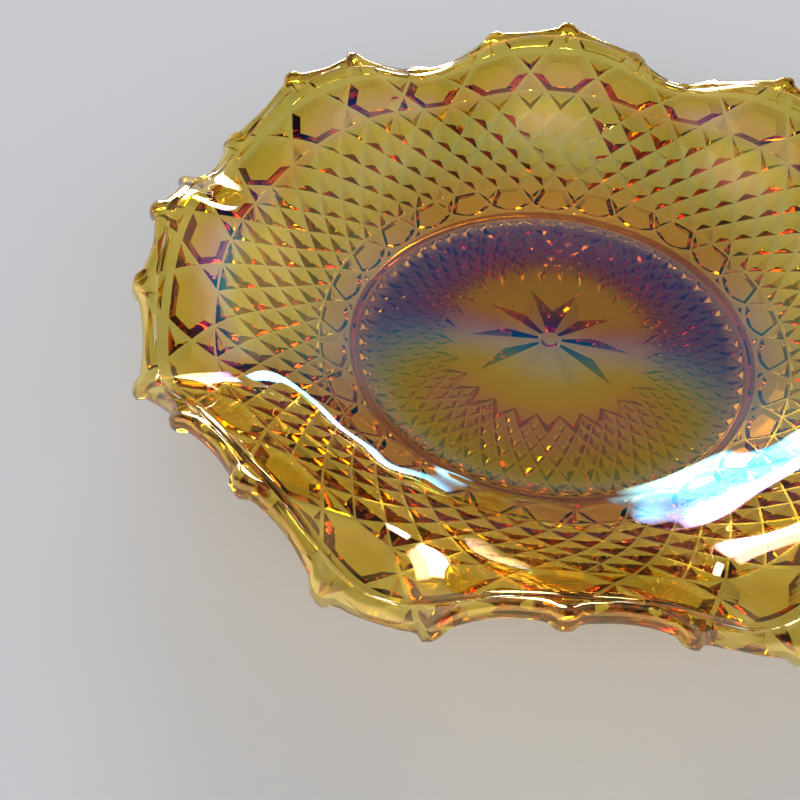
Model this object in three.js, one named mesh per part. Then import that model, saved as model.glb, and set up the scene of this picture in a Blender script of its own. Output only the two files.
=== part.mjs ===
// A ruffled bowl of pressed glass with a star base. Millimetres, +Z up.
// The origin is on the table under the centre of the foot.
// The glass is one pressing with no moving parts. Each mesh is one zone of its pattern,
// and neighbouring zones stand ZONE_GAP apart.
import * as THREE from "three";
import { mergeVertices } from "three/addons/utils/BufferGeometryUtils.js";

// The pattern: everything round the bowl repeats on a grid of columns, four to a repeat.
// Column 0 of each repeat runs between two hexagons, and column 2 through a hexagon.
const REPEATS = 28;
const COLUMNS = 4 * REPEATS;
const COLUMN_ANGLE = (2 * Math.PI) / COLUMNS;
const STAR_POINTS = 10;
const STAR_TURN = THREE.MathUtils.degToRad(3.3);

// Heights above the table
const GROOVE_HEIGHT = 3.0;
const GLASS_THICKNESS = 3.4;
const PLAIN_HEIGHT = 1.9;

// Radii of the zones, from the centre out
const STAR_VALLEY_RADIUS = 12.6;
const STAR_TIP_RADIUS = 21.5;
const BUTTON_RADIUS = 3.2;
const TOOTH_INNER_RADIUS = 24.9;
const TOOTH_OUTER_RADIUS = 28.6;
const WELL_RADIUS = 50;
const FLOOR_EDGE = 51.8;
const FOOT_EDGE = 54.4;
const ARCH_FOOT_RADIUS = 55;
const ARCH_SHOULDER_RADIUS = 55.7;
const ARCH_CROSSING = 57.2;
const LATTICE_BOTTOM = 62.2;
const LATTICE_TOP = 87.4;
const HEXAGON_CROSSING = 92.1;
const HEXAGON_TOP = 97.8;
const RIM_RADIUS = 102.5;
const RIM_POINT_LENGTH = 3.1;

// Relief
const FLOOR_ROWS = 6;
const FLOOR_ROW_RATIO = 0.908;
const WALL_ROWS = 6;
const PYRAMID_SLOPE = 0.45;
const TABLE_DROP = 1.3;
const STAR_DEPTH = 2.8;
const BUTTON_DROP = 0.8;
const ZONE_GAP = 0.3;

// The wall seen in section, from the edge of the well to the rim
const WALL_CURVE = new THREE.CubicBezierCurve(
  new THREE.Vector2(WELL_RADIUS, GROOVE_HEIGHT),
  new THREE.Vector2(70.5, 8.6),
  new THREE.Vector2(88, 29),
  new THREE.Vector2(106.5, 33),
);

// The ruffles: crests rise and lean in, hollows dip and lean out, and both fade down the wall.
const RUFFLES = 8;
const RUFFLE_CREST = THREE.MathUtils.degToRad(8.5);
const RUFFLE_START = 66;
const RUFFLE_END = 105.6;
const RUFFLE_HEIGHT = 7.8;
const RUFFLE_PINCH = 1.45;
const RUFFLE_LEAN = 0.3;

// The rounded edge of the rim
const EDGE_SETBACK = 1.8;
const EDGE_DROP = 0.5;
const EDGE_STEPS = 4;
const RIM_COLUMN_OFFSETS = [-2, -1.5, -1, 0, 1, 1.5];

const AMBER = 0xb08a2e;
const GOLD = 0xc2a43c;
const PLUM = 0x6a4a5e;

const halfGap = ZONE_GAP / 2;
const outerColumns = range(2 * REPEATS).map((index) => 2 * index + 1);

function range(count) {
  return Array.from({ length: count }, (_, index) => index);
}

// Height and slope of the pattern's ground surface at a radius
function section(radius) {
  if (radius <= WELL_RADIUS) {
    return { height: GROOVE_HEIGHT, slope: 0 };
  }
  let low = 0;
  let high = 1;
  for (let pass = 0; pass < 40; pass += 1) {
    const middle = (low + high) / 2;
    if (WALL_CURVE.getPoint(middle).x < radius) {
      low = middle;
    } else {
      high = middle;
    }
  }
  const tangent = WALL_CURVE.getTangent(low);
  return { height: WALL_CURVE.getPoint(low).y, slope: Math.atan2(tangent.y, tangent.x) };
}

function ruffleLift(angle, radius) {
  const share = Math.max(0, (radius - RUFFLE_START) / (RUFFLE_END - RUFFLE_START)) ** 2;
  const phase = RUFFLES * (angle - RUFFLE_CREST);
  return share * (RUFFLE_HEIGHT * Math.cos(phase) - RUFFLE_PINCH * Math.cos(2 * phase));
}

// A point of the glass: `depth` is measured from the ground surface towards the inside,
// and `drop` straight down, which is how the relief leaves the mould.
function glassPoint(column, radius, depth, drop) {
  const angle = column * COLUMN_ANGLE;
  const { height, slope } = section(radius);
  const lift = ruffleLift(angle, radius);
  const reach = radius - RUFFLE_LEAN * lift - depth * Math.sin(slope);
  const z = height + lift + depth * Math.cos(slope) - drop;
  return new THREE.Vector3(reach * Math.cos(angle), reach * Math.sin(angle), z);
}

function under(column, radius, drop = 0) {
  return glassPoint(column, radius, 0, drop);
}

function inside(column, radius) {
  return glassPoint(column, radius, GLASS_THICKNESS, 0);
}

// Collects triangles. Outlines are listed anticlockwise as seen from above,
// and `facesDown` turns them over.
class Shell {
  constructor() {
    this.positions = [];
  }

  triangle(a, b, c, facesDown = false) {
    const corners = facesDown ? [a, c, b] : [a, b, c];
    corners.forEach((corner) => this.positions.push(corner.x, corner.y, corner.z));
  }

  fan(outline, apex, facesDown) {
    outline.forEach((corner, index) => {
      this.triangle(corner, outline[(index + 1) % outline.length], apex, facesDown);
    });
  }

  // Closed band between two rings of points with the same count, inner ring first
  band(inner, outer, facesDown) {
    inner.forEach((point, index) => {
      const next = (index + 1) % inner.length;
      this.triangle(point, outer[index], outer[next], facesDown);
      this.triangle(point, outer[next], inner[next], facesDown);
    });
  }

  // A raised flat table inside an outline, with a bevel all round it
  table(outline, centre, share, drop) {
    const top = outline.map((corner) => {
      const point = centre.clone().lerp(corner, share);
      point.z -= drop;
      return point;
    });
    this.band(top, outline, true);
    const middle = centre.clone();
    middle.z -= drop;
    this.fan(top, middle, true);
  }

  mesh(name, color) {
    const geometry = new THREE.BufferGeometry();
    geometry.setAttribute("position", new THREE.Float32BufferAttribute(this.positions, 3));
    const closed = mergeVertices(geometry, 1e-4);
    closed.computeVertexNormals();
    const material = new THREE.MeshStandardMaterial({ color, roughness: 0.12, metalness: 0.1 });
    const mesh = new THREE.Mesh(closed, material);
    mesh.name = name;
    return mesh;
  }
}

function ring(radius, place) {
  return outerColumns.map((column) => place(column, radius));
}

// The inside surface through a list of radii, and the two end walls down to the ground surface
function addInsideAndEnds(shell, radii) {
  const rings = radii.map((radius) => ring(radius, inside));
  for (let index = 1; index < rings.length; index += 1) {
    shell.band(rings[index - 1], rings[index], false);
  }
  const first = radii[0];
  const last = radii[radii.length - 1];
  shell.band(ring(first, under), rings[0], false);
  shell.band(rings[rings.length - 1], ring(last, under), false);
}

function pyramidDrop(radius) {
  return PYRAMID_SLOPE * radius * COLUMN_ANGLE;
}

function pyramid(shell, outline, column, radius) {
  shell.fan(outline, under(column, radius, pyramidDrop(radius)), true);
}

// Rows of pyramids between two edge lines. Row 0 lies on the outer line and its crossings
// are on odd columns; the crossings of the other rows alternate between even and odd.
function addDiamonds(shell, radii, lastFullRow) {
  for (let row = 1; row <= lastFullRow; row += 1) {
    for (let column = row % 2; column < COLUMNS; column += 2) {
      const outline = [
        under(column, radii[row + 1]),
        under(column - 1, radii[row]),
        under(column, radii[row - 1]),
        under(column + 1, radii[row]),
      ];
      pyramid(shell, outline, column, radii[row]);
    }
  }
  for (let column = 0; column < COLUMNS; column += 2) {
    const outline = [
      under(column, radii[1]),
      under(column - 1, radii[0]),
      under(column + 1, radii[0]),
    ];
    pyramid(shell, outline, column, (2 * radii[0] + radii[1]) / 3);
  }
}

// One half of a tooth: radius of the toothed line at a column, pulled in or out by `shift`
function toothRadius(column, shift) {
  const share = Math.abs((((column + 2) % 4) + 4) % 4 - 2) / 2;
  return THREE.MathUtils.lerp(TOOTH_INNER_RADIUS, TOOTH_OUTER_RADIUS, share) + shift;
}

const toothShift = 0.8 * ZONE_GAP;
const toothColumns = range(COLUMNS);

function toothedRing(shift, place) {
  return toothColumns.map((column) => place(column, toothRadius(column, shift)));
}

function plain(column, radius) {
  return under(column, radius, GROOVE_HEIGHT - PLAIN_HEIGHT);
}

function makeStarMedallion() {
  const shell = new Shell();
  const rim = toothedRing(-toothShift, plain);
  const top = toothedRing(-toothShift, inside);
  const starColumn = STAR_TURN / COLUMN_ANGLE;
  const columnsPerPoint = COLUMNS / STAR_POINTS;
  const star = range(2 * STAR_POINTS).map((index) => {
    const radius = index % 2 === 0 ? STAR_TIP_RADIUS : STAR_VALLEY_RADIUS;
    return plain(starColumn + (index * columnsPerPoint) / 2, radius);
  });
  const peak = new THREE.Vector3(0, 0, PLAIN_HEIGHT + STAR_DEPTH);
  const buttonShare = (corner) => BUTTON_RADIUS / Math.hypot(corner.x, corner.y);
  const buttonEdge = star.map((corner) => peak.clone().lerp(corner, buttonShare(corner)));
  shell.band(buttonEdge, star, true);
  shell.fan(buttonEdge, new THREE.Vector3(0, 0, PLAIN_HEIGHT + STAR_DEPTH - BUTTON_DROP), true);
  const flat = (points) => points.map((point) => new THREE.Vector2(point.x, point.y));
  const corners = [...rim, ...star];
  THREE.ShapeUtils.triangulateShape(flat(rim), [flat(star).reverse()]).forEach((face) => {
    const [a, b, c] = face.map((index) =>
      index < rim.length ? corners[index] : star[star.length - 1 - (index - rim.length)]);
    shell.triangle(a, b, c, true);
  });
  shell.fan(top, inside(0, 0), false);
  shell.band(top, rim, false);
  return shell.mesh("star_medallion", PLUM);
}

function makeFloorDisc() {
  const shell = new Shell();
  const edge = FLOOR_EDGE - halfGap;
  const radii = range(FLOOR_ROWS + 2).map((row) => FLOOR_EDGE * FLOOR_ROW_RATIO ** row);
  radii[0] = edge;
  addDiamonds(shell, radii, FLOOR_ROWS - 1);
  for (let column = 0; column < COLUMNS; column += 4) {
    const outline = [
      under(column, radii[FLOOR_ROWS + 1]),
      under(column - 1, radii[FLOOR_ROWS]),
      under(column, radii[FLOOR_ROWS - 1]),
      under(column + 1, radii[FLOOR_ROWS]),
    ];
    pyramid(shell, outline, column, radii[FLOOR_ROWS]);
  }
  const latticeEdge = toothColumns.map((column) => {
    const stepsFromValley = Math.abs(((column + 2) % 4) - 2);
    return under(column, radii[FLOOR_ROWS + 1 - stepsFromValley]);
  });
  const teeth = toothedRing(toothShift, plain);
  shell.band(teeth, latticeEdge, true);
  const toothTop = toothedRing(toothShift, inside);
  const floorRing = toothColumns.map((column) => inside(column, TOOTH_OUTER_RADIUS + 4));
  shell.band(teeth, toothTop, false);
  shell.band(toothTop, floorRing, false);
  const wellRing = ring(WELL_RADIUS, inside);
  outerColumns.forEach((column, index) => {
    const next = (index + 1) % outerColumns.length;
    const ringAt = (offset) => floorRing[(column + offset) % COLUMNS];
    shell.triangle(ringAt(0), wellRing[index], ringAt(1));
    shell.triangle(ringAt(1), wellRing[index], wellRing[next]);
    shell.triangle(ringAt(1), wellRing[next], ringAt(2));
  });
  shell.band(wellRing, ring(edge, inside), false);
  shell.band(ring(edge, inside), ring(edge, under), false);
  return shell.mesh("floor_disc", GOLD);
}

function makeFootRing() {
  const shell = new Shell();
  const innerRadius = FLOOR_EDGE + halfGap;
  const outerRadius = FOOT_EDGE - halfGap;
  addInsideAndEnds(shell, [innerRadius, outerRadius]);
  const standing = (column, radius) => {
    const point = under(column, radius);
    point.z = 0;
    return point;
  };
  const innerFoot = ring(innerRadius + 0.4, standing);
  const outerFoot = ring(outerRadius - 0.2, standing);
  shell.band(ring(innerRadius, under), innerFoot, true);
  shell.band(innerFoot, outerFoot, true);
  shell.band(outerFoot, ring(outerRadius, under), true);
  return shell.mesh("foot_ring", AMBER);
}

function makeArchBand() {
  const shell = new Shell();
  const bottom = FOOT_EDGE + halfGap;
  const top = LATTICE_BOTTOM - halfGap;
  addInsideAndEnds(shell, [bottom, ARCH_CROSSING, top]);
  for (let column = 0; column < COLUMNS; column += 4) {
    const crossing = under(column, ARCH_CROSSING);
    const upper = [crossing, under(column - 1, top), under(column + 1, top)];
    pyramid(shell, upper, column, (ARCH_CROSSING + 2 * top) / 3);
    const lower = [
      under(column - 1, bottom),
      under(column - 1, ARCH_SHOULDER_RADIUS),
      crossing,
      under(column + 1, ARCH_SHOULDER_RADIUS),
      under(column + 1, bottom),
    ];
    shell.fan(lower, under(column, ARCH_SHOULDER_RADIUS, TABLE_DROP / 2), true);
    const middle = column + 2;
    const foot = under(middle, ARCH_FOOT_RADIUS);
    const shoulders = [-1, 1].map((side) => under(middle + side, ARCH_SHOULDER_RADIUS));
    const arch = [
      foot,
      shoulders[0],
      under(middle - 2, ARCH_CROSSING),
      under(middle - 1, top),
      under(middle + 1, top),
      under(middle + 2, ARCH_CROSSING),
      shoulders[1],
    ];
    shell.table(arch, under(middle, (ARCH_FOOT_RADIUS + top) / 2), 0.74, TABLE_DROP);
    const sill = [-1, 1].map((side) => under(middle + side, bottom));
    shell.triangle(sill[0], shoulders[0], foot, true);
    shell.triangle(sill[0], foot, sill[1], true);
    shell.triangle(sill[1], foot, shoulders[1], true);
  }
  return shell.mesh("arch_band", AMBER);
}

function makeLatticeWall() {
  const shell = new Shell();
  const bottom = LATTICE_BOTTOM + halfGap;
  const top = LATTICE_TOP - halfGap;
  const ratio = (bottom / top) ** (1 / WALL_ROWS);
  const radii = range(WALL_ROWS + 1).map((row) => top * ratio ** row);
  addInsideAndEnds(shell, [bottom, radii[4], radii[2], top]);
  addDiamonds(shell, radii, WALL_ROWS - 1);
  for (let column = 0; column < COLUMNS; column += 2) {
    const outline = [
      under(column - 1, bottom),
      under(column, radii[WALL_ROWS - 1]),
      under(column + 1, bottom),
    ];
    pyramid(shell, outline, column, (2 * bottom + radii[WALL_ROWS - 1]) / 3);
  }
  return shell.mesh("lattice_wall", GOLD);
}

function makeHexagonBand() {
  const shell = new Shell();
  const bottom = LATTICE_TOP + halfGap;
  const top = HEXAGON_TOP - halfGap;
  addInsideAndEnds(shell, [bottom, HEXAGON_CROSSING, top]);
  for (let column = 0; column < COLUMNS; column += 4) {
    const crossing = under(column, HEXAGON_CROSSING);
    const lower = [under(column - 1, bottom), crossing, under(column + 1, bottom)];
    const upper = [crossing, under(column - 1, top), under(column + 1, top)];
    shell.fan(lower, under(column, (2 * bottom + HEXAGON_CROSSING) / 3, TABLE_DROP), true);
    shell.fan(upper, under(column, (2 * top + HEXAGON_CROSSING) / 3, TABLE_DROP), true);
    const middle = column + 2;
    const hexagon = [
      under(middle - 1, bottom),
      under(middle - 2, HEXAGON_CROSSING),
      under(middle - 1, top),
      under(middle + 1, top),
      under(middle + 2, HEXAGON_CROSSING),
      under(middle + 1, bottom),
    ];
    shell.table(hexagon, under(middle, HEXAGON_CROSSING), 0.7, TABLE_DROP);
  }
  return shell.mesh("hexagon_band", AMBER);
}

// How far a rim column reaches towards the tip of its point: 1 on the point, 0 between points
function pointShare(column) {
  const distance = Math.abs((((column % 4) + 4) % 4) - 2);
  return Math.max(0, 1 - distance / 2) ** 2;
}

// One step of the rounded edge: turn 0 is its lower corner, 0.5 the outermost line, 1 the top
function edgePoint(column, turn) {
  const swing = Math.PI * (turn - 0.5);
  const radius = RIM_RADIUS + RIM_POINT_LENGTH * pointShare(column) - EDGE_SETBACK;
  const middle = (GLASS_THICKNESS - EDGE_DROP) / 2;
  const depth = middle + ((GLASS_THICKNESS + EDGE_DROP) / 2) * Math.sin(swing);
  const point = glassPoint(column, radius, depth, 0);
  const angle = column * COLUMN_ANGLE;
  const reach = EDGE_SETBACK * Math.cos(swing);
  return point.add(new THREE.Vector3(reach * Math.cos(angle), reach * Math.sin(angle), 0));
}

function makeRimLip() {
  const shell = new Shell();
  const bottom = HEXAGON_TOP + halfGap;
  const rimColumns = range(REPEATS).flatMap((repeat) =>
    RIM_COLUMN_OFFSETS.map((offset) => 4 * repeat + offset));
  const edgeRings = range(EDGE_STEPS + 1).map((step) =>
    rimColumns.map((column) => edgePoint(column, step / EDGE_STEPS)));
  for (let step = 0; step < EDGE_STEPS; step += 1) {
    shell.band(edgeRings[step], edgeRings[step + 1], true);
  }
  shell.band(ring(bottom, under), ring(bottom, inside), false);
  const perRepeat = RIM_COLUMN_OFFSETS.length;
  const eave = edgeRings[0];
  const brow = edgeRings[EDGE_STEPS];
  for (let repeat = 0; repeat < REPEATS; repeat += 1) {
    const column = 4 * repeat;
    const first = repeat * perRepeat;
    const run = range(perRepeat + 1).map((index) => (first + index) % rimColumns.length);
    const lower = run.map((index) => eave[index]);
    const left = under(column - 1, bottom);
    const right = under(column + 1, bottom);
    const bar = [left, ...lower, right];
    shell.table(bar, under(column, (bottom + RIM_RADIUS) / 2), 0.72, TABLE_DROP / 2);
    const nextLeft = under(column + 3, bottom);
    const below = [right, lower[perRepeat], nextLeft];
    shell.fan(below, under(column + 2, bottom + 2, TABLE_DROP / 2), true);
    const upper = run.map((index) => brow[index]);
    const innerLeft = inside(column - 1, bottom);
    const innerRight = inside(column + 1, bottom);
    const split = perRepeat / 2;
    for (let index = 0; index < perRepeat; index += 1) {
      const root = index < split ? innerLeft : innerRight;
      shell.triangle(root, upper[index], upper[index + 1]);
    }
    shell.triangle(innerLeft, upper[split], innerRight);
    shell.triangle(innerRight, upper[perRepeat], inside(column + 3, bottom));
  }
  return shell.mesh("rim_lip", AMBER);
}

const bowl = new THREE.Group();
bowl.name = "carnival_glass_bowl";
bowl.add(
  makeStarMedallion(),
  makeFloorDisc(),
  makeFootRing(),
  makeArchBand(),
  makeLatticeWall(),
  makeHexagonBand(),
  makeRimLip(),
);

export default bowl;
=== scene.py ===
import math

import bmesh
import bpy
from mathutils import Matrix, Vector, geometry


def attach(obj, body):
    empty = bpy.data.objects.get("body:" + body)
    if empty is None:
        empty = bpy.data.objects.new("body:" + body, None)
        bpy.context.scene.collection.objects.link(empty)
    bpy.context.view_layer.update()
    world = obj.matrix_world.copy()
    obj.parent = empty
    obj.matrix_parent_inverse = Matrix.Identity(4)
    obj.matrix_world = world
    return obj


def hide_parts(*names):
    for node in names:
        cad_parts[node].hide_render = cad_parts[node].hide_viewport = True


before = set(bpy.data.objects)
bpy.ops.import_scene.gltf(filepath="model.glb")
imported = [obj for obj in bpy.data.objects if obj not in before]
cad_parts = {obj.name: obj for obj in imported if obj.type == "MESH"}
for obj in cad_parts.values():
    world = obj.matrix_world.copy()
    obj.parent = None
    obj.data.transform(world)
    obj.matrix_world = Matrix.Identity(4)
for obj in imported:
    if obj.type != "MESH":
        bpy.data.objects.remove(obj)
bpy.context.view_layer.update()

# Sizes are in millimetres. Places round the bowl are counted in columns, four to a repeat:
# column 0 of each repeat runs between two hexagons, and column 2 through a hexagon.
MM = 0.001
REPEATS = 28
COLUMNS = 4 * REPEATS
COLUMN_ANGLE = 2 * math.pi / COLUMNS
STAR_POINTS = 10
STAR_TURN = math.radians(3.3)

# Heights above the table
GROOVE_HEIGHT = 3.0
GLASS_THICKNESS = 3.4
PLAIN_HEIGHT = 1.9

# Radii of the zones, from the centre out
BUTTON_RADIUS = 3.2
STAR_VALLEY_RADIUS = 12.6
STAR_TIP_RADIUS = 21.5
TOOTH_INNER_RADIUS = 24.9
TOOTH_OUTER_RADIUS = 28.6
WELL_RADIUS = 50.0
FLOOR_EDGE = 51.8
FOOT_EDGE = 54.4
ARCH_FOOT_RADIUS = 55.0
ARCH_CROSSING = 57.2
ARCH_CENTRE = 58.4
LATTICE_BOTTOM = 62.2
LATTICE_TOP = 87.4
HEXAGON_CROSSING = 92.1
HEXAGON_CENTRE = 92.2
HEXAGON_TOP = 97.8
RIM_RADIUS = 102.5

# Half of an arch, from its crossing to its foot, as (columns from the arch's middle, radius)
ARCH_CURVE = [(2.0, ARCH_CROSSING), (1.5, 56.25), (1.0, 55.55), (0.5, 55.12), (0.0, ARCH_FOOT_RADIUS)]
# The small pyramid between two arches, as (columns from its middle, radius)
SPANDREL_BASE = [(-0.75, 54.95), (0.75, 54.95), (0.0, 56.3)]
SPANDREL_APEX_RADIUS = 55.4

# The wall seen in section, from the edge of the well to the rim. A radius is looked for along the
# curve by halving, and a little past its end at 1.
WALL_CURVE = [(WELL_RADIUS, GROOVE_HEIGHT), (70.5, 8.6), (88.0, 29.0), (106.5, 33.0)]
CURVE_LIMIT = 1.2
CURVE_HALVINGS = 40

# The ruffles: crests rise and lean in, hollows dip and lean out, and both fade down the wall
RUFFLES = 8
RUFFLE_CREST = math.radians(8.5)
RUFFLE_START = 66.0
RUFFLE_END = 105.6
RUFFLE_HEIGHT = 7.8
RUFFLE_PINCH = 1.45
RUFFLE_LEAN = 0.3

# The inside: the fillet round the floor, the thinner waist of the wall, and the slight unevenness of
# glass that was shaped by hand, as waves of (count round the bowl, radial length, phase, share)
FILLET_START = 48.0
FILLET_END = 53.0
WAIST_START = 56.0
WAIST_RADIUS = 72.0
WAIST_END = 88.0
WAIST_DEPTH = 1.1
RIPPLE_HEIGHT = 0.024
RIPPLE_FADE = 12
RIPPLES = [(11, 4.0, 0, 1.0), (17, -2.6, 1, 0.8), (29, 3.1, 2, 0.6)]

# Relief of the floor and the wall
FLOOR_ROWS = 6
FLOOR_ROW_RATIO = 0.908
WALL_ROWS = 6
FLOOR_PYRAMID_SLOPE = 0.52
WALL_PYRAMID_SLOPE = 0.39
TIP_SHARE = 0.14
TIP_ROUNDING = 0.55
SPANDREL_DROP = 0.8
TABLE_DROP = 1.7
TABLE_SHARE = 0.65
ARCH_TABLE_DROP = TABLE_DROP * 0.8
ARCH_TABLE_SHARE = 0.74
UPPER_TRIANGLE_SHIFT = 0.3
STAR_DEPTH = 3.2
# The hollow in the star's button, as (share of its radius, dip), and the dip in its middle
BUTTON_HOLLOW = [(0.86, 0.5), (0.66, 1.0), (0.4, 1.25)]
BUTTON_DIP = 1.35

# Half the widths of the flat lines between cells
LAND = 0.24
HEXAGON_LAND = 0.42
HEXAGON_TOP_LAND = 0.8
RIM_LINE_LAND = 0.45

# The rim: its points and their knobs, its rounded lip, the triangles and bars under it, and the
# mould's fine line inside
RIM_WAVE_REACH = 1.3
KNOB_REACH = 1.7
KNOB_DROP = 1.0
KNOB_HALF_WIDTH = 0.43
LIP_LOW_SETBACK = 1.0
LIP_HIGH_SETBACK = 2.4
LIP_DROP = 0.9
LIP_SWELL = 2.2
RIM_TRIANGLE_RADIUS = 99.6
RIM_TRIANGLE_DROP = 1.1
BAR_INNER_RADIUS = 99.1
BAR_OUTER_RADIUS = 101.0
BAR_INNER_HALF_LENGTH = 1.1
BAR_OUTER_HALF_LENGTH = 1.35
BAR_DROP = 0.9
BAR_TOP_HALF_WIDTH = 0.45
LIP_LINE_RADIUS = 100.2
LIP_LINE_DEPTH = 0.3
LIP_LINE_WIDTH = 0.28

# How finely the mesh is cut
EDGE_LENGTH = 1.7
RING_STEP = 0.25
BAR_PARTS = 10
LIP_STEPS = 12
WALL_STEPS = 32
FILLET_STEPS = 6
FLOOR_RINGS = [40.0, 30.0, 20.0, 10.0, 3.0]
SAME_RADIUS = 1e-6
PARALLEL = 1e-4
TRIANGLES_INSIDE = 1
FILL_TOLERANCE = 1e-7
GRID_PER_METRE = 2e6
WELD_DISTANCE = 2e-6

# Thickness of the lustre film in nanometres, on the far and the near side of the bowl, against the
# distance from the bowl's axis
FILM_FAR = [(0, 140), (6, 126), (12, 112), (22, 104), (28, 119), (35, 134), (45, 144), (50, 147), (54, 165),
            (60, 184), (66, 206), (72, 224), (78, 224), (82, 206), (85, 168), (88, 142), (91, 120), (94, 108),
            (104, 95)]
FILM_NEAR = [(0, 140), (6, 165), (15, 195), (25, 224), (35, 236), (45, 210), (50, 188), (56, 168), (62, 150),
             (69, 135), (77, 123), (88, 113), (98, 98), (104, 92)]
# The near side's direction, and the cosines of the angle from it between which its film comes in
NEAR_DIRECTION = math.radians(273)
NEAR_START = [(0, -0.7), (20, -0.7), (33, -0.24), (46, -0.2), (58, 0.25), (104, 0.25)]
NEAR_FULL = 0.74
# Painted shade in the inside's base colour, against the distance from the axis. It darkens the floor's ring
# of pyramids, where the bowl keeps light off, together with the lustre's purple tint, and makes the hexagon
# band a little darker. The near side has less of it and is lighter.
FILM_TINT_AND_PAINTED_SHADE = [(0, (1, 1, 1)), (24, (1, 1, 1)), (30, (0.36, 0.27, 0.45)), (46, (0.15, 0.15, 0.3)),
             (51, (1, 1, 1)), (86, (1, 1, 1)), (91, (0.84, 0.82, 0.72))]
TINT_REACH = 100
NEAR_LIGHTNESS = 0.6
FILM_IOR = 2.2
GLASS_IOR = 1.52
GLASS_ROUGHNESS = 0.02
GLASS_COLOR = (0.98, 0.84, 0.02, 1)
GLASS_DENSITY = 590

# The stage, in metres
FLOOR_HALF_WIDTH = 4.0
FLOOR_GAP = 0.0001
FLOOR_COLOR = (0.8, 0.8, 0.8, 1)

# The room's brightness, as fades between two values of a direction: (start, end, level, level)
OVERHEAD = (0.76, 0.9, 1.0, 0.22)
LOW_DOWN = (0.35, 0.6, 0.76, 0.37)
BEHIND = (-0.5, 0.0, 1.0, 0.0)
BEHIND_LEVEL = 1.55
ACROSS = (-0.7, 0.7, 1.15, 0.85)
AHEAD = (0.8, 0.93, 1.0, 0.12)
ROOM_COLOR = (0.95, 0.97, 1.02, 1)

# The lamps, in metres and watts: (name, place, width, height, power)
WINDOWS = [("window_sky", (-0.34, 1.19, 0.42), 0.56, 0.3, 3.2),
           ("window", (-0.33, 1.23, 0.2), 0.54, 0.3, 6.5),
           ("window_edge", (0.16, 1.28, 0.24), 0.24, 0.15, 1.5)]
WINDOW_AIM = (0, 0, 0.03)
WINDOW_COLOR = (1, 0.99, 0.98)
WINDOW_SHARPNESS = 4.0
WINDOW_BRIGHTEST = 1.5
SKY = ("sky", (-0.9, 3.5, 1.55), 2.0, 1.1, 52.0)
SKY_AIM = (0, 0, 0)
SKY_COLOR = (0.97, 0.98, 1.0)

# The camera: metres from its target, and where the target lies from the middle of the view, as
# tangents of the angles
CAMERA_DISTANCE = 0.272
CAMERA_ELEVATION = math.radians(45.2)
CAMERA_ROLL = math.radians(9.84)
CAMERA_TARGET = Vector((0, 0, 0.0041))
TARGET_RIGHT_OF_AXIS = 0.1497
TARGET_ABOVE_AXIS = 0.0566
CAMERA_LENS = 44.84
CAMERA_SENSOR = 36
CAMERA_NEAREST = 0.01


# ---------------------------------------------------------------- the shape of the glass

def bezier(points, t):
    """A point of a cubic curve, and the angle at which the curve rises there."""
    u = 1 - t
    a, b, c, d = points
    place = [u**3 * a[i] + 3 * u * u * t * b[i] + 3 * u * t * t * c[i] + t**3 * d[i] for i in (0, 1)]
    slope = [u * u * (b[i] - a[i]) + 2 * u * t * (c[i] - b[i]) + t * t * (d[i] - c[i]) for i in (0, 1)]
    return place, math.atan2(slope[1], slope[0])


section_cache = {}


def section(radius):
    """Height and slope of the ground surface, under the pattern, at a radius."""
    key = round(radius, 5)
    if key not in section_cache:
        section_cache[key] = (GROOVE_HEIGHT, 0.0) if radius <= WELL_RADIUS else wall_section(radius)
    return section_cache[key]


def wall_section(radius):
    """The same on the wall, found by halving along its curve."""
    low, high = 0.0, CURVE_LIMIT
    for _ in range(CURVE_HALVINGS):
        middle = (low + high) / 2
        if bezier(WALL_CURVE, middle)[0][0] < radius:
            low = middle
        else:
            high = middle
    place, slope = bezier(WALL_CURVE, low)
    return place[1], slope


def ruffle_lift(angle, radius):
    """How far the ruffles lift the glass."""
    share = max(0.0, (radius - RUFFLE_START) / (RUFFLE_END - RUFFLE_START)) ** 2
    phase = RUFFLES * (angle - RUFFLE_CREST)
    return share * (RUFFLE_HEIGHT * math.cos(phase) - RUFFLE_PINCH * math.cos(2 * phase))


def flat_place(column, radius):
    """A place seen from above."""
    angle = column * COLUMN_ANGLE
    return (radius * math.cos(angle), radius * math.sin(angle))


def round_point(column, radius, height):
    """A point at a plain radius and height, in metres."""
    return Vector((*flat_place(column, radius), height)) * MM


def glass_point(column, radius, depth=0.0, drop=0.0):
    """A point of the glass: depth goes from the ground surface towards the inside, drop straight down."""
    height, slope = section(radius)
    lift = ruffle_lift(column * COLUMN_ANGLE, radius)
    reach = radius - RUFFLE_LEAN * lift - depth * math.sin(slope)
    z = height + lift + depth * math.cos(slope) - drop
    return round_point(column, reach, z)


def inside_point(column, radius, dip=0.0):
    """The smooth inside surface, with a small fillet between the well's floor and the wall."""
    if FILLET_START < radius < FILLET_END:
        return fillet_point(column, (radius - FILLET_START) / (FILLET_END - FILLET_START))
    return glass_point(column, radius, GLASS_THICKNESS - dip - waist(radius) - ripple(column, radius))


def fillet_point(column, t):
    """The fillet curves from the floor at t = 0 to the wall at t = 1."""
    height, slope = section(FILLET_END)
    end = (FILLET_END - GLASS_THICKNESS * math.sin(slope), height + GLASS_THICKNESS * math.cos(slope))
    floor = GROOVE_HEIGHT + GLASS_THICKNESS
    corner = end[0] - (end[1] - floor) / math.tan(slope)
    reach = (1 - t) ** 2 * FILLET_START + 2 * t * (1 - t) * corner + t * t * end[0]
    return round_point(column, reach, (1 - t * t) * floor + t * t * end[1])


def smooth_step(share):
    """Eases from 0 to 1."""
    share = min(1.0, max(0.0, share))
    return share * share * (3 - 2 * share)


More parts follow.
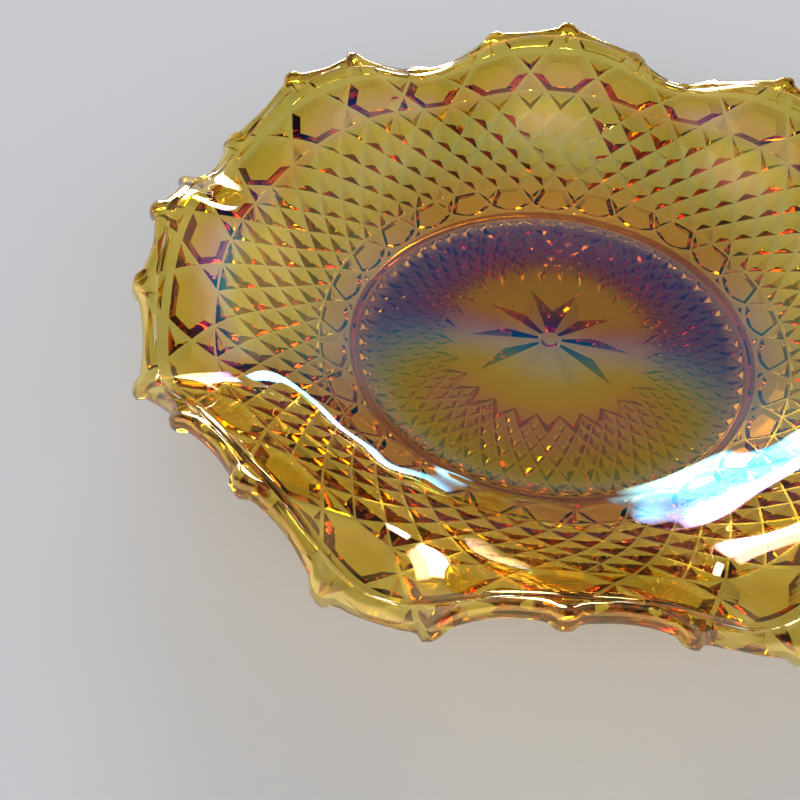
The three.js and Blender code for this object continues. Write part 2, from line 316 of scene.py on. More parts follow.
def waist(radius):
    """The wall is a little thinner half way up."""
    rise = smooth_step((radius - WAIST_START) / (WAIST_RADIUS - WAIST_START))
    fall = smooth_step((radius - WAIST_RADIUS) / (WAIST_END - WAIST_RADIUS))
    return WAIST_DEPTH * (rise - fall)


def ripple(column, radius):
    """How far the unevenness raises the inside. It fades out towards the floor."""
    angle = column * COLUMN_ANGLE
    fade = smooth_step((radius - FILLET_END) / RIPPLE_FADE)
    waves = sum(share * math.sin(count * angle + radius / length + phase)
                for count, length, phase, share in RIPPLES)
    return RIPPLE_HEIGHT * fade * waves


# ---------------------------------------------------------------- collecting faces

# The kinds of face: edges between two kinds stay sharp, except between the inside and smooth ones
INSIDE, SMOOTH, LAND_FACE, FACET = 0, 1, 2, 3


class Shell:
    """All faces of the bowl, each with its corners and its kind."""

    def __init__(self):
        self.faces = []

    def add(self, points, group):
        self.faces.append((points, group))

    def strip(self, first, second, group, closed=True):
        """Faces between two lines of the same number of points."""
        count = len(first)
        for i in range(count if closed else count - 1):
            j = (i + 1) % count
            self.add([first[i], first[j], second[j], second[i]], group)

    def fan(self, outline, apex, group, closed=True):
        """Faces from an outline to one point."""
        count = len(outline)
        for i in range(count if closed else count - 1):
            self.add([outline[i], outline[(i + 1) % count], apex], group)


def edge_parts(a, b):
    """Into how many parts a pattern line is cut. It is the same from both of its sides."""
    if abs(a[1] - b[1]) < SAME_RADIUS:
        return max(1, round(abs(a[0] - b[0]) / RING_STEP))
    wide = (a[0] - b[0]) * COLUMN_ANGLE * (a[1] + b[1]) / 2
    return max(1, round(math.hypot(wide, a[1] - b[1]) / EDGE_LENGTH))


def cut_outline(corners, parts):
    """The points of an outline whose sides are cut into parts, counted from the same end for both cells."""
    points = []
    for i, a in enumerate(corners):
        b = corners[(i + 1) % len(corners)]
        first, last = (a, b) if a <= b else (b, a)
        for k in range(parts[i]):
            share = k / parts[i] if a <= b else 1 - k / parts[i]
            points.append((first[0] + (last[0] - first[0]) * share, first[1] + (last[1] - first[1]) * share))
    return points


def cut_line(a, b):
    """The points that cut a pattern line into parts, without the line's end."""
    return cut_outline([a, b], [edge_parts(a, b), 1])[:-1]


def line_land(a, b):
    """Half the width of the flat line between two cells."""
    low, high = sorted((a[1], b[1]))
    if high > HEXAGON_TOP:
        return RIM_LINE_LAND
    if low == HEXAGON_TOP:
        return HEXAGON_TOP_LAND
    if low >= LATTICE_TOP and high > LATTICE_TOP:
        return HEXAGON_LAND
    return LAND


def column_width(outline):
    """The width of a column at an outline's mean radius."""
    return COLUMN_ANGLE * (sum(p[1] for p in outline) / len(outline))


def inset(corners, widths):
    """The corners of a convex outline after each side has moved inwards by its own width."""
    scale = column_width(corners)
    flat = [Vector((c[0] * scale, c[1])) for c in corners]
    ends = flat[1:] + flat[:1]
    area = sum(p.x * q.y - p.y * q.x for p, q in zip(flat, ends))
    turn = 1 if area > 0 else -1
    lines = []
    for i, (a, b) in enumerate(zip(flat, ends)):
        along = (b - a).normalized()
        inward = Vector((-along.y, along.x)) * turn
        lines.append((a + inward * widths[i], along))
    moved = []
    for i in range(len(flat)):
        (p, d), (q, e) = lines[i - 1], lines[i]
        cross = d.x * e.y - d.y * e.x
        if abs(cross) < PARALLEL:
            moved.append(q)
        else:
            moved.append(p + d * (((q - p).x * e.y - (q - p).y * e.x) / cross))
    return [(p.x / scale, p.y) for p in moved]


def land_ring(shell, corners, place=glass_point):
    """The flat land round a cell. Returns the outline of what is left in the middle, cut like the land."""
    count = len(corners)
    sides = [(corners[i], corners[(i + 1) % count]) for i in range(count)]
    parts = [edge_parts(a, b) for a, b in sides]
    outer = cut_outline(corners, parts)
    small = inset(corners, [line_land(a, b) for a, b in sides])
    inner = []
    for i in range(count):
        a, b = small[i], small[(i + 1) % count]
        for k in range(parts[i]):
            share = k / parts[i]
            inner.append((a[0] + (b[0] - a[0]) * share, a[1] + (b[1] - a[1]) * share))
    shell.strip([place(*p) for p in outer], [place(*p) for p in inner], LAND_FACE)
    return inner


def pyramid(shell, corners, column, radius, drop):
    """A low pyramid with a small rounded tip."""
    inner = land_ring(shell, corners)
    base = [glass_point(*p) for p in inner]
    apex = glass_point(column, radius, 0, drop)
    shoulder = [apex + (p - apex) * TIP_SHARE for p in base]
    shell.strip(base, shoulder, FACET)
    tip = apex + (sum(base, Vector()) / len(base) - apex) * TIP_SHARE * TIP_ROUNDING
    shell.fan(shoulder, tip, SMOOTH)


def table(shell, corners, centre, share, drop):
    """A raised flat table inside a cell, with a bevel all round it."""
    inner = land_ring(shell, corners)
    top = [(centre[0] + (p[0] - centre[0]) * share, centre[1] + (p[1] - centre[1]) * share) for p in inner]
    low = [glass_point(p[0], p[1], -drop) for p in top]
    shell.strip([glass_point(*p) for p in inner], low, FACET)
    half = [((centre[0] + p[0]) / 2, (centre[1] + p[1]) / 2) for p in top]
    mid = [glass_point(p[0], p[1], -drop) for p in half]
    shell.strip(low, mid, LAND_FACE)
    shell.fan(mid, glass_point(centre[0], centre[1], -drop), LAND_FACE)


def fill_between(shell, outline, hole, flatten, place, group):
    """Fills between an outline and a hole in it, both given as (column, radius) points."""
    both = outline + hole
    points = [Vector(flatten(*p)) for p in both]
    count = len(outline)
    edges = [(i, (i + 1) % count) for i in range(count)]
    edges += [(count + i, count + (i + 1) % len(hole)) for i in range(len(hole))]
    result = geometry.delaunay_2d_cdt(points, edges, [], TRIANGLES_INSIDE, FILL_TOLERANCE)
    source = [ids[0] for ids in result[3]]
    for face in result[2]:
        in_hole = inside_outline(face, result[0], points[count:])
        if inside_outline(face, result[0], points[:count]) and not in_hole:
            shell.add([place(*both[source[i]]) for i in face], group)


def plate(shell, outline, hole, place):
    """The flat ground round a hole in the wall's pattern."""
    width = column_width(outline)
    fill_between(shell, outline, hole, lambda column, radius: (column * width, radius), place, LAND_FACE)


def inside_outline(face, places, outline):
    """Whether a triangle's middle is inside an outline."""
    x = sum(places[i].x for i in face) / 3
    y = sum(places[i].y for i in face) / 3
    hit = False
    for i, a in enumerate(outline):
        b = outline[i - 1]
        if (a.y > y) != (b.y > y) and x < (b.x - a.x) * (y - a.y) / (b.y - a.y) + a.x:
            hit = not hit
    return hit


def add_diamonds(shell, radii, last_full_row, slope):
    """Rows of pyramids on diamonds, and the half diamonds along the outer edge."""
    for row in range(1, last_full_row + 1):
        for column in range(row % 2, COLUMNS, 2):
            corners = [(column, radii[row + 1]), (column + 1, radii[row]),
                       (column, radii[row - 1]), (column - 1, radii[row])]
            pyramid(shell, corners, column, radii[row], slope * radii[row] * COLUMN_ANGLE)
    for column in range(0, COLUMNS, 2):
        corners = [(column, radii[1]), (column + 1, radii[0]), (column - 1, radii[0])]
        radius = (2 * radii[0] + radii[1]) / 3
        pyramid(shell, corners, column, radius, slope * radius * COLUMN_ANGLE)


# ---------------------------------------------------------------- the zones of the pattern

def point_distance(column):
    """How many columns a place is from the nearest point of the rim, or tip of a tooth."""
    return abs(column % 4 - 2)


def disc_point(column, radius):
    """A point of the plain disc round the star."""
    return round_point(column, radius, PLAIN_HEIGHT)


def tooth_radius(column):
    """The edge of the plain disc."""
    share = 1 - point_distance(column) / 2
    return TOOTH_INNER_RADIUS + (TOOTH_OUTER_RADIUS - TOOTH_INNER_RADIUS) * share


def add_star(shell):
    """The plain disc with teeth, and the star that rises from it to a hollow button."""
    per_half_point = COLUMNS / STAR_POINTS / 2
    start = STAR_TURN / COLUMN_ANGLE
    corners = []
    for index in range(2 * STAR_POINTS):
        radius = STAR_VALLEY_RADIUS if index % 2 else STAR_TIP_RADIUS
        corners.append((start + index * per_half_point, radius))
    teeth = [(column, tooth_radius(column)) for column in range(COLUMNS)]
    fill_between(shell, teeth, corners, flat_place, disc_point, FACET)
    centre = PLAIN_HEIGHT + STAR_DEPTH
    edge = []
    for column, radius in corners:
        share = BUTTON_RADIUS / radius
        edge.append(round_point(column, BUTTON_RADIUS, centre - STAR_DEPTH * share))
    shell.strip([disc_point(*p) for p in corners], edge, FACET)
    before = edge
    for share, dip in BUTTON_HOLLOW:
        level = centre - dip
        ring = [Vector((p.x * share, p.y * share, level * MM)) for p in edge]
        shell.strip(before, ring, SMOOTH)
        before = ring
    shell.fan(before, Vector((0, 0, (centre - BUTTON_DIP) * MM)), SMOOTH)


def add_floor(shell):
    """The ring of small pyramids, and the facets that fall from it to the plain disc's teeth."""
    radii = [FLOOR_EDGE * FLOOR_ROW_RATIO**row for row in range(FLOOR_ROWS + 2)]
    add_diamonds(shell, radii, FLOOR_ROWS - 1, FLOOR_PYRAMID_SLOPE)
    for column in range(0, COLUMNS, 4):
        corners = [(column, radii[FLOOR_ROWS + 1]), (column + 1, radii[FLOOR_ROWS]),
                   (column, radii[FLOOR_ROWS - 1]), (column - 1, radii[FLOOR_ROWS])]
        drop = FLOOR_PYRAMID_SLOPE * radii[FLOOR_ROWS] * COLUMN_ANGLE
        pyramid(shell, corners, column, radii[FLOOR_ROWS], drop)
    for column in range(COLUMNS):
        ends = []
        for at in (column, column + 1):
            steps = 2 - point_distance(at)
            ends.append((at, radii[FLOOR_ROWS + 1 - steps]))
        line = cut_line(*ends) + [ends[1]]
        tooth = [disc_point(at, tooth_radius(at)) for at in (column, column + 1)]
        lattice = [glass_point(*p) for p in line]
        shell.fan(lattice, tooth[0], FACET, closed=False)
        shell.add([lattice[-1], tooth[1], tooth[0]], FACET)


def ring_columns():
    """The columns of the points round a plain ring."""
    return [k * RING_STEP for k in range(round(COLUMNS / RING_STEP))]


def add_foot(shell):
    """The plain ring that the bowl stands on, with rounded sides."""
    columns = ring_columns()
    before = [glass_point(c, FLOOR_EDGE) for c in columns]
    inner_height = section(FLOOR_EDGE)[0]
    outer_height = section(FOOT_EDGE)[0]
    profile = [(FLOOR_EDGE + 0.16, inner_height - 0.8), (FLOOR_EDGE + 0.32, 1.2), (FLOOR_EDGE + 0.5, 0.5),
               (FLOOR_EDGE + 0.65, 0.15), (FLOOR_EDGE + 0.85, 0.0), (FOOT_EDGE - 0.75, 0.0),
               (FOOT_EDGE - 0.52, 0.15), (FOOT_EDGE - 0.32, 0.6), (FOOT_EDGE - 0.16, 1.4),
               (FOOT_EDGE - 0.06, outer_height - 1.0)]
    for radius, height in profile:
        ring = [round_point(c, radius, height) for c in columns]
        shell.strip(before, ring, SMOOTH)
        before = ring
    shell.strip(before, [glass_point(c, FOOT_EDGE) for c in columns], SMOOTH)


def add_arches(shell):
    """The row of arches round the foot, with a triangle and a spandrel between each two."""
    for column in range(0, COLUMNS, 4):
        upper = [(column, ARCH_CROSSING), (column + 1, LATTICE_BOTTOM), (column - 1, LATTICE_BOTTOM)]
        radius = (ARCH_CROSSING + 2 * LATTICE_BOTTOM) / 3
        pyramid(shell, upper, column, radius, TABLE_DROP)
        middle = column + 2
        right = [(middle + offset, radius) for offset, radius in reversed(ARCH_CURVE)]
        left = [(middle - offset, radius) for offset, radius in ARCH_CURVE[:-1]]
        arch = right + [(middle + 1, LATTICE_BOTTOM), (middle - 1, LATTICE_BOTTOM)] + left
        table(shell, arch, (middle, ARCH_CENTRE), ARCH_TABLE_SHARE, ARCH_TABLE_DROP)
        add_spandrel(shell, column)


def add_spandrel(shell, column):
    """The field between two arches and the foot, with a small pyramid in it."""
    rise = [(column - 2 + offset, radius) for offset, radius in reversed(ARCH_CURVE)]
    fall = [(column + 2 - offset, radius) for offset, radius in ARCH_CURVE[1:]]
    corners = [(column - 2, FOOT_EDGE)] + rise + fall + [(column + 2, FOOT_EDGE)]
    parts = [edge_parts(corners[i], corners[(i + 1) % len(corners)]) for i in range(len(corners))]
    outline = cut_outline(corners, parts)
    hole = [(column + offset, radius) for offset, radius in SPANDREL_BASE]
    plate(shell, outline, hole, glass_point)
    apex = glass_point(column, SPANDREL_APEX_RADIUS, 0, SPANDREL_DROP)
    shell.fan([glass_point(*p) for p in hole], apex, FACET)


def add_wall(shell):
    """The diamond lattice of larger pyramids."""
    ratio = (LATTICE_BOTTOM / LATTICE_TOP) ** (1 / WALL_ROWS)
    radii = [LATTICE_TOP * ratio**row for row in range(WALL_ROWS + 1)]
    radii[WALL_ROWS] = LATTICE_BOTTOM
    add_diamonds(shell, radii, WALL_ROWS - 1, WALL_PYRAMID_SLOPE)
    above = radii[WALL_ROWS - 1]
    for column in range(0, COLUMNS, 2):
        corners = [(column - 1, LATTICE_BOTTOM), (column + 1, LATTICE_BOTTOM), (column, above)]
        radius = (2 * LATTICE_BOTTOM + above) / 3
        pyramid(shell, corners, column, radius, WALL_PYRAMID_SLOPE * radius * COLUMN_ANGLE)


def add_hexagons(shell):
    """The row of flat-topped hexagons, with two triangles between each two."""
    for column in range(0, COLUMNS, 4):
        lower = [(column - 1, LATTICE_TOP), (column + 1, LATTICE_TOP), (column, HEXAGON_CROSSING)]
        upper = [(column, HEXAGON_CROSSING), (column + 1, HEXAGON_TOP), (column - 1, HEXAGON_TOP)]
        pyramid(shell, lower, column, (2 * LATTICE_TOP + HEXAGON_CROSSING) / 3, TABLE_DROP)
        upper_radius = (2 * HEXAGON_TOP + HEXAGON_CROSSING) / 3 - UPPER_TRIANGLE_SHIFT
        pyramid(shell, upper, column, upper_radius, TABLE_DROP)
        middle = column + 2
        hexagon = [(middle - 1, LATTICE_TOP), (middle + 1, LATTICE_TOP), (middle + 2, HEXAGON_CROSSING),
                   (middle + 1, HEXAGON_TOP), (middle - 1, HEXAGON_TOP), (middle - 2, HEXAGON_CROSSING)]
        table(shell, hexagon, (middle, HEXAGON_CENTRE), TABLE_SHARE, TABLE_DROP)


def knob_share(column):
    """1 on the round knob at the tip of a rim point, falling to 0 beside it."""
    return math.exp(-((point_distance(column) / KNOB_HALF_WIDTH) ** 4))


def rim_reach(column):
    """The radius of the rim's outermost line."""
    distance = point_distance(column)
    wave = RIM_WAVE_REACH * (0.5 + 0.5 * math.cos(math.pi * distance / 2))
    return RIM_RADIUS + wave + KNOB_REACH * knob_share(column)


def knob_drop(column):
    """How far a knob hangs below the rest of the lip."""
    return KNOB_DROP * knob_share(column)


def lip_point(column, turn):
    """The rounded edge of the rim: turn 0 is its lower corner, 0.5 the outermost line, 1 the top."""
    swing = math.pi * (turn - 0.5)
    low = -LIP_DROP - knob_drop(column)
    high = GLASS_THICKNESS
    depth = (low + high) / 2 + (high - low) / 2 * math.sin(swing)
    setback = LIP_LOW_SETBACK if turn < 0.5 else LIP_HIGH_SETBACK
    return glass_point(column, rim_reach(column) - setback * (1 - math.cos(swing)), depth)


def eave_radius(column):
    """Where the lip begins, underneath."""
    return rim_reach(column) - LIP_LOW_SETBACK


def brow_radius(column):
    """Where the lip ends, on the inside."""
    return rim_reach(column) - LIP_HIGH_SETBACK


def add_rim(shell):
    """The bars, the triangles under the points and the lines between them."""
    steps = round(4 / RING_STEP)
    for column in range(0, COLUMNS, 4):
        places = [column - 2 + k * RING_STEP for k in range(steps + 1)]
        edge = [(place, eave_radius(place)) for place in places]
        low_left, low_right = (column - 1, HEXAGON_TOP), (column + 1, HEXAGON_TOP)
        outline = cut_line(low_left, low_right) + cut_line(low_right, edge[-1])
        outline += list(reversed(edge[1:])) + cut_line(edge[0], low_left)
        bar = [(column - BAR_INNER_HALF_LENGTH, BAR_INNER_RADIUS),
               (column + BAR_INNER_HALF_LENGTH, BAR_INNER_RADIUS),
               (column + BAR_OUTER_HALF_LENGTH, BAR_OUTER_RADIUS),
               (column - BAR_OUTER_HALF_LENGTH, BAR_OUTER_RADIUS)]
        hole = cut_outline(bar, [BAR_PARTS, 1, BAR_PARTS, 1])
        plate(shell, outline, hole, rim_ground)
        add_bar(shell, column, hole)
        middle = column + 2
        below = [(middle - 1, HEXAGON_TOP), (middle + 1, HEXAGON_TOP), (middle, eave_radius(middle))]
        inner = land_ring(shell, below, rim_ground)
        apex = rim_ground(middle, RIM_TRIANGLE_RADIUS, RIM_TRIANGLE_DROP)
        shell.fan([rim_ground(*p) for p in inner], apex, FACET)


def rim_ground(column, radius, drop=0.0):
    """The ground surface near the rim, which swells down to meet the lip's lower corner."""
    edge = eave_radius(column)
    share = min(1.0, max(0.0, 1 - (edge - radius) / LIP_SWELL)) ** 2
    low = share * (LIP_DROP + knob_drop(column))
    return glass_point(column, radius, -low, drop)


def add_bar(shell, column, hole):
    """A long low bar with a flat top and steep sides, on the underside of the rim."""
    outline = [rim_ground(*p) for p in hole]
    lower = outline[:BAR_PARTS + 1]
    upper = list(reversed(outline[BAR_PARTS + 1:]))
    middle = (BAR_INNER_RADIUS + BAR_OUTER_RADIUS) / 2
    tops = []
    for radius in (middle - BAR_TOP_HALF_WIDTH, middle + BAR_TOP_HALF_WIDTH):
        shares = [2 * k / BAR_PARTS - 1 for k in range(BAR_PARTS + 1)]
        tops.append([rim_ground(column + share, radius, BAR_DROP) for share in shares])
    shell.strip(lower, tops[0], FACET, closed=False)
    shell.strip(tops[0], tops[1], FACET, closed=False)
    shell.strip(tops[1], upper, FACET, closed=False)
    for end in (0, -1):
        shell.add([lower[end], tops[0][end], tops[1][end], upper[end]], FACET)


def add_lip(shell):
    """The rounded edge of the rim. Returns its last ring, which the inside joins."""
    columns = ring_columns()
    rings = [[lip_point(c, step / LIP_STEPS) for c in columns] for step in range(LIP_STEPS + 1)]
    for before, after in zip(rings, rings[1:]):
        shell.strip(before, after, INSIDE)
    return rings[-1]


def add_inside(shell, brow):
    """The smooth inside, from the lip down to the middle, with the mould's fine line near the rim."""
    columns = ring_columns()
    before = brow
    line = LIP_LINE_RADIUS
    width = LIP_LINE_WIDTH
    for share in (0.5, 1.0):
        ring = []
        for column in columns:
            top = brow_radius(column)
            radius = top + (line + width - top) * share
            ring.append(inside_point(column, radius))
        shell.strip(before, ring, INSIDE)
        before = ring
    groove = [(line + 0.4 * width, 0.8), (line, 1.0), (line - 0.4 * width, 0.8), (line - width, 0.0)]
    for radius, share in groove:
        ring = [inside_point(c, radius, LIP_LINE_DEPTH * share) for c in columns]
        shell.strip(before, ring, INSIDE)
        before = ring
    top = line - width
    wall = [top - k * (top - FILLET_END) / WALL_STEPS for k in range(1, WALL_STEPS + 1)]
    fillet = [FILLET_END - k * (FILLET_END - FILLET_START) / FILLET_STEPS for k in range(1, FILLET_STEPS + 1)]
    for radius in wall + fillet + FLOOR_RINGS:
        ring = [inside_point(c, radius) for c in columns]
        shell.strip(before, ring, INSIDE)
        before = ring
    shell.fan(before, Vector((0, 0, GROOVE_HEIGHT + GLASS_THICKNESS)) * MM, INSIDE)


def join_faces(faces):
    """One mesh of all faces, joined where they meet, with each face's kind in its group layer."""
    mesh = bmesh.new()
    group = mesh.faces.layers.int.new("group")
    seen = {}
    for points, kind in faces:
        corners = []
        for p in points:
            key = tuple(round(value * GRID_PER_METRE) for value in p)
            if key not in seen:
                seen[key] = mesh.verts.new(p)
            if seen[key] not in corners:
                corners.append(seen[key])
        if len(corners) > 2:
            mesh.faces.new(corners)[group] = kind
    bmesh.ops.remove_doubles(mesh, verts=mesh.verts, dist=WELD_DISTANCE)
    bmesh.ops.recalc_face_normals(mesh, faces=mesh.faces)
    return mesh, group


def build_bowl():
    """The whole bowl as one closed mesh. Its lustre attribute is 1 on the inside and 0 elsewhere."""
    shell = Shell()
    add_star(shell)
    add_floor(shell)
    add_foot(shell)
    add_arches(shell)
    add_wall(shell)
    add_hexagons(shell)
    add_rim(shell)
    brow = add_lip(shell)
    add_inside(shell, brow)
    mesh, group = join_faces(shell.faces)
    lustre = mesh.verts.layers.float.new("lustre")
    for vertex in mesh.verts:
        vertex[lustre] = float(all(face[group] == INSIDE for face in vertex.link_faces))
    for face in mesh.faces:
        face.smooth = face[group] != FACET
    for edge in mesh.edges:
        groups = {max(face[group], SMOOTH) for face in edge.link_faces}
        edge.smooth = len(groups) == 1
    data = bpy.data.meshes.new("bowl_glass")
    mesh.to_mesh(data)
    mesh.free()
    bowl = bpy.data.objects.new("bowl_glass", data)
    bpy.context.scene.collection.objects.link(bowl)
    return bowl


# ---------------------------------------------------------------- materials

class Graph:
    """Short calls for building the nodes of a material, a light or the world."""

    def __init__(self, owner):
        owner.use_nodes = True
        self.tree = owner.node_tree
        self.tree.nodes.clear()

    def node(self, kind, **inputs):
        """Makes a node. An input is given by its name, or by i and its number."""
        made = self.tree.nodes.new(kind)
        for name, value in inputs.items():
            self.feed(made, name, value)
        return made

    def feed(self, node, name, value):
        """Links an output to an input, or sets the input's value."""
        numbered = name[0] == "i" and name[1:].isdigit()
        socket = node.inputs[int(name[1:]) if numbered else name.replace("_", " ")]
        if isinstance(value, bpy.types.NodeSocket):
            self.tree.links.new(value, socket)
        else:
            socket.default_value = value

    def math(self, operation, first, second=0.0, third=0.0):
        """A Math node's output."""
        made = self.tree.nodes.new("ShaderNodeMath")
        made.operation = operation
        for name, value in (("i0", first), ("i1", second), ("i2", third)):
            self.feed(made, name, value)
        return made.outputs[0]

    def curve(self, value, points):
        """A smooth curve near (input, output) points, read from a ramp over the inputs' own range."""
        low, high = points[0][0], points[-1][0]
        lowest = min(p[1] for p in points)
        highest = max(p[1] for p in points)
        share = self.node("ShaderNodeMapRange", Value=value, From_Min=low, From_Max=high)
        ramp = self.node("ShaderNodeValToRGB", Fac=share.outputs["Result"])
        ramp.color_ramp.interpolation = "B_SPLINE"
        stops = []
        for x, y in points:
            level = (y - lowest) / (highest - lowest)
            stops.append(((x - low) / (high - low), (level, level, level)))
        set_stops(ramp.color_ramp, stops)
        return self.math("MULTIPLY_ADD", ramp.outputs["Color"], highest - lowest, lowest)


def set_stops(ramp, stops):
    """Gives a colour ramp its stops, as (position, colour)."""
    while len(ramp.elements) > 1:
        ramp.elements.remove(ramp.elements[-1])
    for index, (at, color) in enumerate(stops):
        element = ramp.elements[0] if index == 0 else ramp.elements.new(at)
        element.position = at
        element.color = (*color, 1)


def place_on(graph):
    """The distance from the bowl's axis in millimetres, and the cosine of the angle from the near side."""
    place = graph.node("ShaderNodeTexCoord").outputs["Object"]
    split = graph.node("ShaderNodeSeparateXYZ", Vector=place)
    flat = graph.node("ShaderNodeCombineXYZ", X=split.outputs["X"], Y=split.outputs["Y"])
    length = graph.node("ShaderNodeVectorMath", i0=flat.outputs["Vector"])
    length.operation = "LENGTH"
    radius = graph.math("MULTIPLY", length.outputs["Value"], 1 / MM)
    beside = graph.math("MULTIPLY", split.outputs["X"], math.cos(NEAR_DIRECTION))
    ahead = graph.math("MULTIPLY_ADD", split.outputs["Y"], math.sin(NEAR_DIRECTION), beside)
    return radius, graph.math("DIVIDE", ahead, length.outputs["Value"])


def film(graph, radius, toward):
    """The film changes in rings, which differ between the near and the far side.

    Returns its thickness and how much of the near side's film there is in it.
    """
    far = graph.curve(radius, FILM_FAR)
    near = graph.curve(radius, FILM_NEAR)
    start = graph.curve(radius, NEAR_START)
    share = graph.node("ShaderNodeMapRange", Value=toward, From_Min=start, From_Max=NEAR_FULL)
    share.interpolation_type = "SMOOTHSTEP"
    nearness = share.outputs["Result"]
    change = graph.math("SUBTRACT", near, far)
    return graph.math("MULTIPLY_ADD", change, nearness, far), nearness


def glass_material():
    """Amber glass whose inside, marked by the mesh's lustre attribute, carries the film and a base colour
    with painted shade.
    """
    material = bpy.data.materials.new("amber_lustre_glass")
    graph = Graph(material)
    inside = graph.node("ShaderNodeAttribute")
    inside.attribute_name = "lustre"
    lustre = inside.outputs["Fac"]
    radius, toward = place_on(graph)
    thickness, nearness = film(graph, radius, toward)
    share = graph.math("MULTIPLY", radius, 1 / TINT_REACH)
    # Painted shade: the ramp darkens the floor's ring of pyramids, with the lustre's purple tint, and the
    # hexagon band. The near side gets less of it.
    tint_and_shade = graph.node("ShaderNodeValToRGB", Fac=graph.math("MULTIPLY", share, lustre))
    set_stops(tint_and_shade.color_ramp, [(at / TINT_REACH, color) for at, color in FILM_TINT_AND_PAINTED_SHADE])
    lighter = graph.node("ShaderNodeMixRGB", Fac=graph.math("MULTIPLY", nearness, NEAR_LIGHTNESS))
    graph.feed(lighter, "Color1", tint_and_shade.outputs["Color"])
    graph.feed(lighter, "Color2", (1, 1, 1, 1))
    glass = graph.node("ShaderNodeBsdfPrincipled", Roughness=GLASS_ROUGHNESS, IOR=GLASS_IOR)
    graph.feed(glass, "Transmission_Weight", 1.0)
    graph.feed(glass, "Base_Color", lighter.outputs["Color"])
    graph.feed(glass, "Thin_Film_IOR", FILM_IOR)
    graph.feed(glass, "Thin_Film_Thickness", graph.math("MULTIPLY", thickness, lustre))
    absorb = graph.node("ShaderNodeVolumeAbsorption", Color=GLASS_COLOR, Density=GLASS_DENSITY)
    graph.node("ShaderNodeOutputMaterial", Surface=glass.outputs["BSDF"], Volume=absorb.outputs["Volume"])
    return material


def floor_material():
    """Pale and matt."""
    material = bpy.data.materials.new("pale_floor")
    material.use_nodes = True
    shader = material.node_tree.nodes["Principled BSDF"]
    shader.inputs["Base Color"].default_value = FLOOR_COLOR
    shader.inputs["Roughness"].default_value = 1.0
    shader.inputs["Specular IOR Level"].default_value = 0.0
    return material


# ---------------------------------------------------------------- stage, lights and camera

def make_floor():
    """A plain floor, a hair below the foot so that the two faces don't coincide."""
    data = bpy.data.meshes.new("floor")
    size = FLOOR_HALF_WIDTH
    z = -FLOOR_GAP
    corners = [(-size, -size, z), (size, -size, z), (size, size, z), (-size, size, z)]
    data.from_pydata(corners, [], [(0, 1, 2, 3)])
    floor = bpy.data.objects.new("floor", data)
    bpy.context.scene.collection.objects.link(floor)
    data.materials.append(floor_material())


def make_lamp(name, place, width, height, power, aim, color):
    """A flat lamp that faces a point."""
    data = bpy.data.lights.new(name, "AREA")
    data.shape = "RECTANGLE"
    data.size = width
    data.size_y = height
    data.energy = power
    data.color = color
    lamp = bpy.data.objects.new(name, data)
    bpy.context.scene.collection.objects.link(lamp)
    lamp.location = place
    lamp.rotation_euler = (Vector(aim) - Vector(place)).to_track_quat("-Z", "Y").to_euler()
    return lamp


def soften(lamp):
    """The light fades towards its edges, as in a curtained window."""
    graph = Graph(lamp.data)
    across = graph.node("ShaderNodeNewGeometry").outputs["Parametric"]
    split = graph.node("ShaderNodeSeparateXYZ", Vector=across)
    level = 1.0
    for side in ("X", "Y"):
        share = split.outputs[side]
        hump = graph.math("MULTIPLY", graph.math("MULTIPLY", share, 4), graph.math("SUBTRACT", 1.0, share))
        level = graph.math("MULTIPLY", hump, level)
    level = graph.math("MINIMUM", graph.math("MULTIPLY", level, WINDOW_SHARPNESS), WINDOW_BRIGHTEST)
    emission = graph.node("ShaderNodeEmission", Strength=level)
    graph.node("ShaderNodeOutputLight", Surface=emission.outputs["Emission"])


def make_lamps():
    """The windows are seen in the glass and don't light the floor. The sky does the reverse."""
    for window in WINDOWS:
        lamp = make_lamp(*window, WINDOW_AIM, WINDOW_COLOR)
        soften(lamp)
        lamp.visible_diffuse = False
    sky = make_lamp(*SKY, SKY_AIM, SKY_COLOR)
    sky.visible_glossy = False


def fade(graph, value, start, end, first, last):
    """Goes from a first level to a last one while a value goes from start to end."""
    change = graph.node("ShaderNodeMapRange", Value=value, From_Min=start, From_Max=end)
    graph.feed(change, "To_Min", first)
    graph.feed(change, "To_Max", last)
    return change.outputs["Result"]


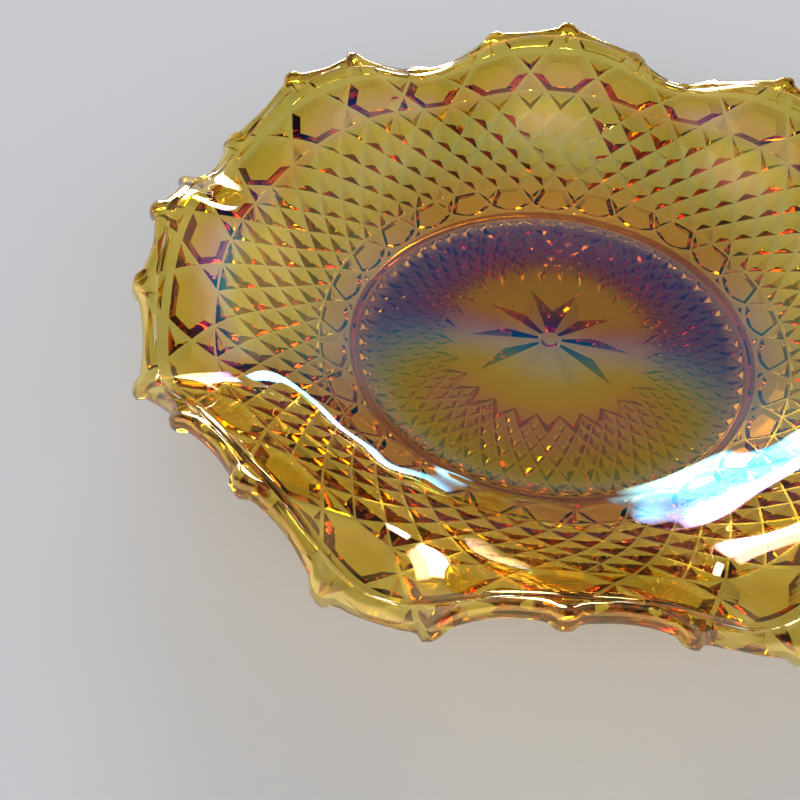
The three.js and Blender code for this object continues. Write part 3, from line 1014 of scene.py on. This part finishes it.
def make_world():
    """A plain room: brighter low down, behind the camera and on the left, dimmer overhead and ahead."""
    world = bpy.data.worlds.new("studio")
    bpy.context.scene.world = world
    graph = Graph(world)
    place = graph.node("ShaderNodeTexCoord").outputs["Generated"]
    split = graph.node("ShaderNodeSeparateXYZ", Vector=place)
    up, back, side = split.outputs["Z"], split.outputs["Y"], split.outputs["X"]
    behind = graph.math("MULTIPLY", fade(graph, back, *BEHIND), BEHIND_LEVEL)
    level = graph.math("MAXIMUM", fade(graph, up, *LOW_DOWN), behind)
    level = graph.math("MULTIPLY", level, fade(graph, up, *OVERHEAD))
    level = graph.math("MULTIPLY", level, fade(graph, side, *ACROSS))
    level = graph.math("MULTIPLY", level, fade(graph, back, *AHEAD))
    background = graph.node("ShaderNodeBackground", Color=ROOM_COLOR, Strength=level)
    graph.node("ShaderNodeOutputWorld", Surface=background.outputs["Background"])


def set_colours():
    """Colours are shown as they are."""
    bpy.context.scene.view_settings.view_transform = "Standard"


def make_camera():
    """Looks down at the target, rolled, and turned so that the target isn't in the middle of the view."""
    forward = Vector((0, math.cos(CAMERA_ELEVATION), -math.sin(CAMERA_ELEVATION)))
    right = Vector((1, 0, 0))
    up = right.cross(forward)
    rolled_right = math.cos(CAMERA_ROLL) * right + math.sin(CAMERA_ROLL) * up
    rolled_up = math.cos(CAMERA_ROLL) * up - math.sin(CAMERA_ROLL) * right
    level = Matrix((rolled_right, rolled_up, forward))
    aim = Vector((TARGET_RIGHT_OF_AXIS, TARGET_ABOVE_AXIS, 1)).normalized()
    turn = Vector((0, 0, 1)).rotation_difference(aim).to_matrix()
    axes = turn @ level
    data = bpy.data.cameras.new("camera")
    data.lens = CAMERA_LENS
    data.sensor_width = CAMERA_SENSOR
    data.clip_start = CAMERA_NEAREST
    camera = bpy.data.objects.new("camera", data)
    bpy.context.scene.collection.objects.link(camera)
    rotation = Matrix((axes[0], axes[1], -axes[2])).transposed()
    camera.matrix_world = Matrix.Translation(CAMERA_TARGET - forward * CAMERA_DISTANCE) @ rotation.to_4x4()
    bpy.context.scene.camera = camera


make_camera()
set_colours()
make_world()
make_floor()
make_lamps()

bowl = build_bowl()
bowl.data.materials.append(glass_material())
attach(bowl, "root")
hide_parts("star_medallion", "floor_disc", "foot_ring", "arch_band",
            "lattice_wall", "hexagon_band", "rim_lip")
